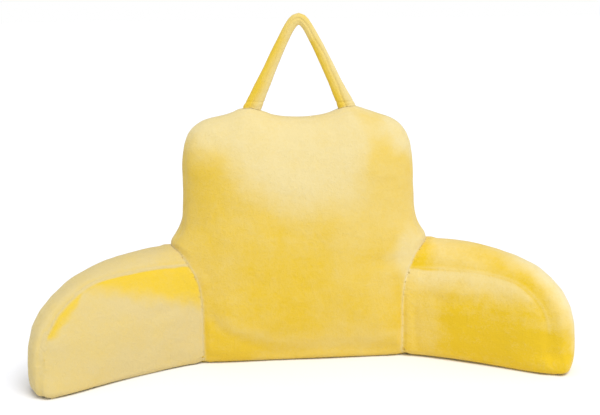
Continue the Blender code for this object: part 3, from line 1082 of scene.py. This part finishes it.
def handle_middle(t):
    """Points of the handle's middle line: t is 0 at one root, 1 at the apex and 2 at the other root."""
    from_apex = np.asarray(t, float) - 1.0
    rounded = np.sqrt(from_apex**2 + HANDLE_APEX_ROUND**2) - HANDLE_APEX_ROUND
    reach = math.sqrt(1.0 + HANDLE_APEX_ROUND**2) - HANDLE_APEX_ROUND
    x = ORIGIN_X + HANDLE_SHIFT + from_apex * HANDLE_SPAN / 2.0
    z = HANDLE_APEX_HEIGHT - (HANDLE_APEX_HEIGHT - HANDLE_ROOT_HEIGHT) * rounded / reach
    return np.stack([x, z], axis=-1)


def handle_place(co):
    """Where points lie on the handle: t along it, and how far they are across its middle line, out of the V."""
    t = np.linspace(0.0, 2.0, 400)
    line = handle_middle(t)
    way = np.gradient(line, axis=0)
    way /= np.linalg.norm(way, axis=1)[:, None]
    gaps = (co[:, None, 0] - line[None, :, 0]) ** 2 + (co[:, None, 2] - line[None, :, 1]) ** 2
    near = np.argmin(gaps, axis=1)
    dx, dz = co[:, 0] - line[near, 0], co[:, 2] - line[near, 1]
    return t[near], dz * way[near, 0] - dx * way[near, 1]


def fold_handle(piece):
    """Presses the lengthwise folds of a sewn and turned tube, and the stitching across its roots."""
    co, no = coordinates(piece), normals(piece)
    t, across = handle_place(co)
    front = eased((-no[:, 1] + 0.1) / 0.5)
    back = eased((no[:, 1] + 0.1) / 0.5)
    wave = 0.0016 * np.sin(9.0 * t + 0.6) + 0.0008 * np.sin(23.0 * t)
    depth = 0.0016 * bell(across - 0.0008 - wave, 0.0017) * front
    depth += 0.0004 * bell(across + 0.0058 - 0.6 * wave, 0.0014) * front
    depth += 0.0014 * bell(across + 0.0012 + wave, 0.0018) * back
    stitch = co[:, 2] - HANDLE_STITCH_HEIGHT - 0.002 * np.sin(60.0 * co[:, 0])
    depth += 0.0007 * bell(stitch, 0.0016)
    set_coordinates(piece, co - no * depth[:, None])


class PILLOW_OT_handle(bpy.types.Operator):
    """Makes the soft carrying handle"""

    bl_idname = "pillow.handle"
    bl_label = "Carrying handle"

    def execute(self, context):
        sizes, colours = context.scene.pillow_sizes, context.scene.pillow_colours
        piece = copy_of_node("handle", "handle_tube")
        skin = surface(piece)
        joints = [sewn_joint("handle")]
        remeshed(piece, sizes.handle_voxel, 2)
        subdivided(piece)
        fitted(piece, skin, [surface(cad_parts["backrest"])], joints, RELAX_WIDTH["handle"])
        joint_gap = nearest_of(all_of(joints, "smooth"), coordinates(piece), 0.04)[0]
        rumpled(piece, 0.0012, 0.0007, eased((joint_gap - 0.001) / 0.010))
        fold_handle(piece)
        drawn_in(piece, joints)
        sewn_onto(piece, surface(bpy.data.objects["backrest_cushion"]))
        pick(piece)
        bpy.ops.object.shade_smooth_by_angle(angle=math.radians(50.0))
        count = len(piece.data.vertices)
        t, across = handle_place(coordinates(piece))
        # Painted light and shade: each leg paler on its right side and deeper on its left, as lit from the right
        painted_side_light = 0.45 * np.clip((t - 1.0) * 4.0, -1.0, 1.0) * np.clip(across / 0.009, -1.0, 1.0)
        brush_nap(piece, "handle", np.ones(count), np.full(count, 0.05), joint_gap, painted_side_light)
        material = plush_material(
            "Handle plush", colours.handle_deep, colours.handle_pale, streaks=0.30, sweeps=0.0, tufts=0.20
        )
        piece.data.materials.append(material)
        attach(piece, "root")
        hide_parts("handle")
        return {"FINISHED"}


class PILLOW_OT_stage(bpy.types.Operator):
    """Makes the plain floor, the soft light and the camera"""

    bl_idname = "pillow.stage"
    bl_label = "Studio stage"

    def execute(self, context):
        deselect()
        bpy.ops.mesh.primitive_circle_add(vertices=96, radius=80.0, fill_type="NGON", location=(0.0, 0.0, -0.0004))
        floor = context.object
        floor.name = "studio_floor"
        bpy.ops.object.transform_apply(location=True)
        material = bpy.data.materials.new("Studio floor")
        material.use_nodes = True
        shader = material.node_tree.nodes["Principled BSDF"]
        shader.inputs["Base Color"].default_value = context.scene.pillow_colours.floor
        shader.inputs["Roughness"].default_value = 1.0
        shader.inputs["Specular IOR Level"].default_value = 0.0
        floor.data.materials.append(material)
        self.add_light(context)
        self.add_camera(context)
        context.scene.view_settings.view_transform = "Standard"
        return {"FINISHED"}

    def add_light(self, context):
        world = bpy.data.worlds.new("Studio")
        world.use_nodes = True
        tree = world.node_tree
        sky = tree.nodes["Background"]
        sky.inputs["Color"].default_value = (0.97, 0.98, 1.0, 1.0)
        sky.inputs["Strength"].default_value = WORLD_STRENGTH
        paper = add_node(tree, "ShaderNodeBackground", {"Color": (1.0, 1.0, 1.0, 1.0), "Strength": 1.0})
        seen = add_node(tree, "ShaderNodeLightPath")
        either = add_node(tree, "ShaderNodeMixShader")
        tree.links.new(seen.outputs["Is Camera Ray"], either.inputs["Fac"])
        tree.links.new(sky.outputs[0], either.inputs[1])
        tree.links.new(paper.outputs[0], either.inputs[2])
        tree.links.new(either.outputs[0], tree.nodes["World Output"].inputs["Surface"])
        context.scene.world = world
        light = bpy.data.lights.new("soft window", "SUN")
        light.energy = WINDOW_STRENGTH
        light.angle = math.radians(35.0)
        lamp = bpy.data.objects.new("soft window", light)
        lamp.rotation_euler = Vector(WINDOW_WAY).to_track_quat("Z", "Y").to_euler()
        context.scene.collection.objects.link(lamp)

    def add_camera(self, context):
        elevation, azimuth = math.radians(CAMERA_ELEVATION), math.radians(CAMERA_AZIMUTH)
        roll = math.radians(CAMERA_ROLL)
        back = Vector(
            (math.sin(azimuth) * math.cos(elevation), -math.cos(azimuth) * math.cos(elevation), math.sin(elevation))
        )
        right = Vector((math.cos(azimuth), math.sin(azimuth), 0.0))
        up = back.cross(right).normalized()
        rolled_right = right * math.cos(roll) - up * math.sin(roll)
        rolled_up = right * math.sin(roll) + up * math.cos(roll)
        aim = Vector((ORIGIN_X, ORIGIN_Y, 0.0)) + Vector(CAMERA_AIM)
        turn = Matrix((rolled_right, rolled_up, back)).transposed()
        lens = bpy.data.cameras.new("Studio camera")
        lens.sensor_width = SENSOR_WIDTH
        lens.lens = CAMERA_FOCAL_PX / PHOTO_WIDTH * SENSOR_WIDTH
        camera = bpy.data.objects.new("Studio camera", lens)
        camera.matrix_world = Matrix.Translation(aim + back * CAMERA_DISTANCE) @ turn.to_4x4()
        context.scene.collection.objects.link(camera)
        context.scene.camera = camera


class PILLOW_PT_panel(bpy.types.Panel):
    """Lists the pillow's pieces and its stage"""

    bl_label = "Reading Pillow"
    bl_idname = "PILLOW_PT_panel"
    bl_space_type = "VIEW_3D"
    bl_region_type = "UI"
    bl_category = "Pillow"

    def draw(self, context):
        for kind in OPERATORS:
            self.layout.operator(kind.bl_idname)


OPERATORS = (PILLOW_OT_backrest, PILLOW_OT_arms, PILLOW_OT_handle, PILLOW_OT_stage)
CLASSES = (PillowSizes, PillowColours) + OPERATORS + (PILLOW_PT_panel,)


def register():
    for kind in CLASSES:
        bpy.utils.register_class(kind)
    bpy.types.Scene.pillow_sizes = bpy.props.PointerProperty(type=PillowSizes)
    bpy.types.Scene.pillow_colours = bpy.props.PointerProperty(type=PillowColours)


def unregister():
    del bpy.types.Scene.pillow_colours
    del bpy.types.Scene.pillow_sizes
    for kind in reversed(CLASSES):
        bpy.utils.unregister_class(kind)


def main():
    register()
    bpy.ops.pillow.backrest()
    bpy.ops.pillow.arms()
    bpy.ops.pillow.handle()
    bpy.ops.pillow.stage()


if __name__ == "__main__":
    main()
